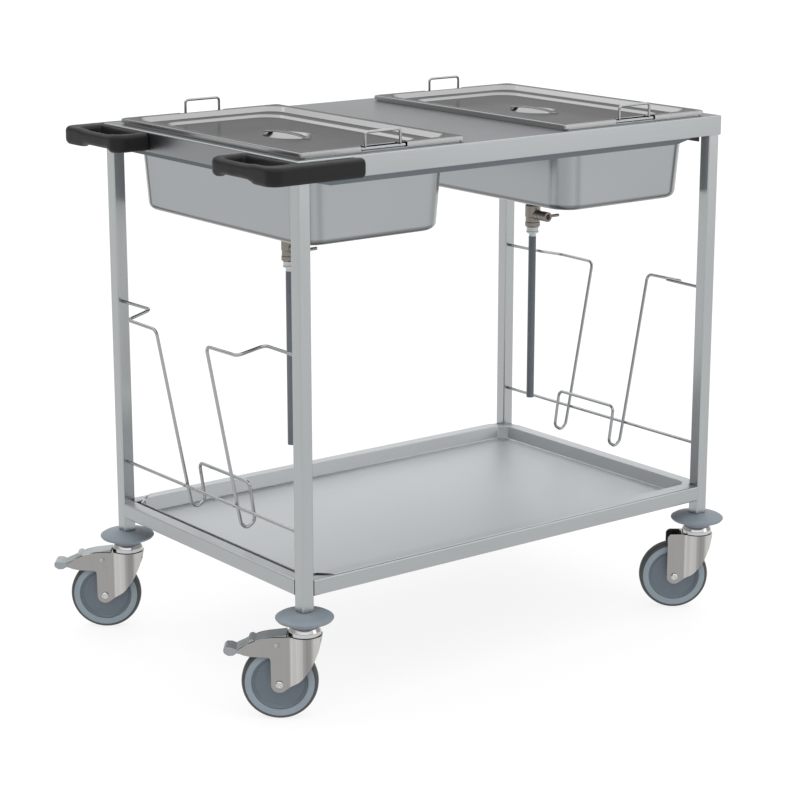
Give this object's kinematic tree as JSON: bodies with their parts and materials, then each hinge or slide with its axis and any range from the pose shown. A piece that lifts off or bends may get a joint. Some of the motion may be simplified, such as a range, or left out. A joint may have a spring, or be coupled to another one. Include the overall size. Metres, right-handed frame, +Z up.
{
  "type": "ward trolley with lidded pans",
  "caption": "Stainless trolley on swivel castors with lidded drop-in pans, drain cocks and hoses, a lower tray shelf, end wire racks and black push loops.",
  "frame": {"origin": "on the floor, under the middle of the trolley's outline with its castors parked", "axes": "+X along the trolley away from the push handles, +Y across it away from the side with the near legs, +Z up"},
  "size_m": [1.0496, 0.692, 0.9435],
  "materials": {
    "brushed_stainless": "fine brushed stainless sheet and tube, satin",
    "lid_stainless": "pressed stainless sheet, smooth satin, reflecting a darker room",
    "wire_stainless": "drawn stainless wire, semi-bright",
    "castor_zinc": "bright zinc-plated pressed steel",
    "polished_steel": "polished plated steel",
    "black_moulding": "black moulded plastic with a fine texture",
    "grey_bumper": "blue-grey soft plastic, matt",
    "grey_tyre": "light blue-grey non-marking rubber with a darker running face",
    "grey_hub": "dark blue-grey moulded plastic, satin",
    "valve_nickel": "nickel-plated brass, satin",
    "hose_tail_plastic": "whitish translucent plastic",
    "grey_hose": "smooth grey flexible hose"
  },
  "bodies": {
    "trolley": {"table_top": "brushed_stainless", "top_frame": "brushed_stainless", "leg_handle_end_far": "brushed_stainless", "leg_handle_end_near": "brushed_stainless", "leg_far_end_far": "brushed_stainless", "leg_far_end_near": "brushed_stainless", "shelf_rail_near_side": "brushed_stainless", "shelf_rail_far_side": "brushed_stainless", "shelf_rail_handle_end": "brushed_stainless", "shelf_rail_far_end": "brushed_stainless", "shelf_tray": "brushed_stainless", "push_handle_near": "black_moulding", "push_handle_far": "black_moulding", "wire_rack_handle_end": "wire_stainless", "wire_rack_far_end": "wire_stainless", "bumper_disc_handle_end_far": "grey_bumper", "bumper_disc_handle_end_near": "grey_bumper", "bumper_disc_far_end_far": "grey_bumper", "bumper_disc_far_end_near": "grey_bumper", "castor_race_handle_end_far": "polished_steel", "castor_race_handle_end_near": "polished_steel", "castor_race_far_end_far": "polished_steel", "castor_race_far_end_near": "polished_steel"},
    "pan_1": {"pan_1": "brushed_stainless", "drain_strainer_1": "valve_nickel", "valve_body_1": "valve_nickel", "hose_tail_1": "hose_tail_plastic", "drain_hose_1": "grey_hose"},
    "lid_1": {"lid_1": "lid_stainless"},
    "bail_1_near": {"bail_1_near": "wire_stainless"},
    "bail_1_far": {"bail_1_far": "wire_stainless"},
    "valve_lever_1": {"valve_lever_1": "valve_nickel"},
    "pan_2": {"pan_2": "brushed_stainless", "drain_strainer_2": "valve_nickel", "valve_body_2": "valve_nickel", "hose_tail_2": "hose_tail_plastic", "drain_hose_2": "grey_hose"},
    "lid_2": {"lid_2": "lid_stainless"},
    "bail_2_near": {"bail_2_near": "wire_stainless"},
    "bail_2_far": {"bail_2_far": "wire_stainless"},
    "valve_lever_2": {"valve_lever_2": "valve_nickel"},
    "castor_handle_end_far": {"castor_fork_handle_end_far": "castor_zinc", "axle_bolt_handle_end_far": "polished_steel"},
    "wheel_handle_end_far": {"wheel_hub_handle_end_far": "grey_hub", "tyre_handle_end_far": "grey_tyre"},
    "pedal_handle_end_far": {"brake_pedal_handle_end_far": "castor_zinc"},
    "castor_handle_end_near": {"castor_fork_handle_end_near": "castor_zinc", "axle_bolt_handle_end_near": "polished_steel"},
    "wheel_handle_end_near": {"wheel_hub_handle_end_near": "grey_hub", "tyre_handle_end_near": "grey_tyre"},
    "pedal_handle_end_near": {"brake_pedal_handle_end_near": "castor_zinc"},
    "castor_far_end_far": {"castor_fork_far_end_far": "castor_zinc", "axle_bolt_far_end_far": "polished_steel"},
    "wheel_far_end_far": {"wheel_hub_far_end_far": "grey_hub", "tyre_far_end_far": "grey_tyre"},
    "castor_far_end_near": {"castor_fork_far_end_near": "castor_zinc", "axle_bolt_far_end_near": "polished_steel"},
    "wheel_far_end_near": {"wheel_hub_far_end_near": "grey_hub", "tyre_far_end_near": "grey_tyre"}
  },
  "joints": [
    {"name": "pan_1_lift", "type": "slide", "parent": "trolley", "child": "pan_1", "axis": [0, 0, 1], "range_m": [0, 0.25]},
    {"name": "lid_1_lift", "type": "slide", "parent": "pan_1", "child": "lid_1", "axis": [0, 0, 1], "range_m": [0, 0.15]},
    {"name": "bail_1_near_swing", "type": "hinge", "parent": "pan_1", "child": "bail_1_near", "pos_m": [-0.2461, -0.2916, 0.9147], "axis": [1, 0, 0], "range_deg": [0, 90]},
    {"name": "bail_1_far_swing", "type": "hinge", "parent": "pan_1", "child": "bail_1_far", "pos_m": [-0.2461, 0.2294, 0.9147], "axis": [-1, 0, 0], "range_deg": [0, 90]},
    {"name": "valve_1_turn", "type": "hinge", "parent": "pan_1", "child": "valve_lever_1", "pos_m": [-0.2461, -0.0614, 0.7165], "axis": [0, 1, 0], "range_deg": [0, 90]},
    {"name": "pan_2_lift", "type": "slide", "parent": "trolley", "child": "pan_2", "axis": [0, 0, 1], "range_m": [0, 0.25]},
    {"name": "lid_2_lift", "type": "slide", "parent": "pan_2", "child": "lid_2", "axis": [0, 0, 1], "range_m": [0, 0.15]},
    {"name": "bail_2_near_swing", "type": "hinge", "parent": "pan_2", "child": "bail_2_near", "pos_m": [0.2944, -0.2916, 0.9147], "axis": [1, 0, 0], "range_deg": [0, 90]},
    {"name": "bail_2_far_swing", "type": "hinge", "parent": "pan_2", "child": "bail_2_far", "pos_m": [0.2944, 0.2294, 0.9147], "axis": [-1, 0, 0], "range_deg": [0, 90]},
    {"name": "valve_2_turn", "type": "hinge", "parent": "pan_2", "child": "valve_lever_2", "pos_m": [0.2944, -0.0614, 0.7165], "axis": [0, 1, 0], "range_deg": [0, 90]},
    {"name": "castor_handle_end_far_swivel", "type": "hinge", "parent": "trolley", "child": "castor_handle_end_far", "pos_m": [-0.4106, 0.2514, 0.139], "axis": [0, 0, 1], "continuous": true},
    {"name": "wheel_handle_end_far_roll", "type": "hinge", "parent": "castor_handle_end_far", "child": "wheel_handle_end_far", "pos_m": [-0.44267, 0.27646, 0.0625], "axis": [-0.6157, -0.788, 0], "continuous": true},
    {"name": "pedal_handle_end_far_press", "type": "hinge", "parent": "castor_handle_end_far", "child": "pedal_handle_end_far", "pos_m": [-0.4448, 0.27812, 0.1294], "axis": [-0.6157, -0.788, 0], "range_deg": [0, 12]},
    {"name": "castor_handle_end_near_swivel", "type": "hinge", "parent": "trolley", "child": "castor_handle_end_near", "pos_m": [-0.4106, -0.2976, 0.139], "axis": [0, 0, 1], "continuous": true},
    {"name": "wheel_handle_end_near_roll", "type": "hinge", "parent": "castor_handle_end_near", "child": "wheel_handle_end_near", "pos_m": [-0.44267, -0.27254, 0.0625], "axis": [-0.6157, -0.788, 0], "continuous": true},
    {"name": "pedal_handle_end_near_press", "type": "hinge", "parent": "castor_handle_end_near", "child": "pedal_handle_end_near", "pos_m": [-0.4448, -0.27088, 0.1294], "axis": [-0.6157, -0.788, 0], "range_deg": [0, 12]},
    {"name": "castor_far_end_far_swivel", "type": "hinge", "parent": "trolley", "child": "castor_far_end_far", "pos_m": [0.4724, 0.2514, 0.139], "axis": [0, 0, 1], "continuous": true},
    {"name": "wheel_far_end_far_roll", "type": "hinge", "parent": "castor_far_end_far", "child": "wheel_far_end_far", "pos_m": [0.44033, 0.27646, 0.0625], "axis": [-0.6157, -0.788, 0], "continuous": true},
    {"name": "castor_far_end_near_swivel", "type": "hinge", "parent": "trolley", "child": "castor_far_end_near", "pos_m": [0.4724, -0.2976, 0.139], "axis": [0, 0, 1], "continuous": true},
    {"name": "wheel_far_end_near_roll", "type": "hinge", "parent": "castor_far_end_near", "child": "wheel_far_end_near", "pos_m": [0.44033, -0.27254, 0.0625], "axis": [-0.6157, -0.788, 0], "continuous": true}
  ]
}
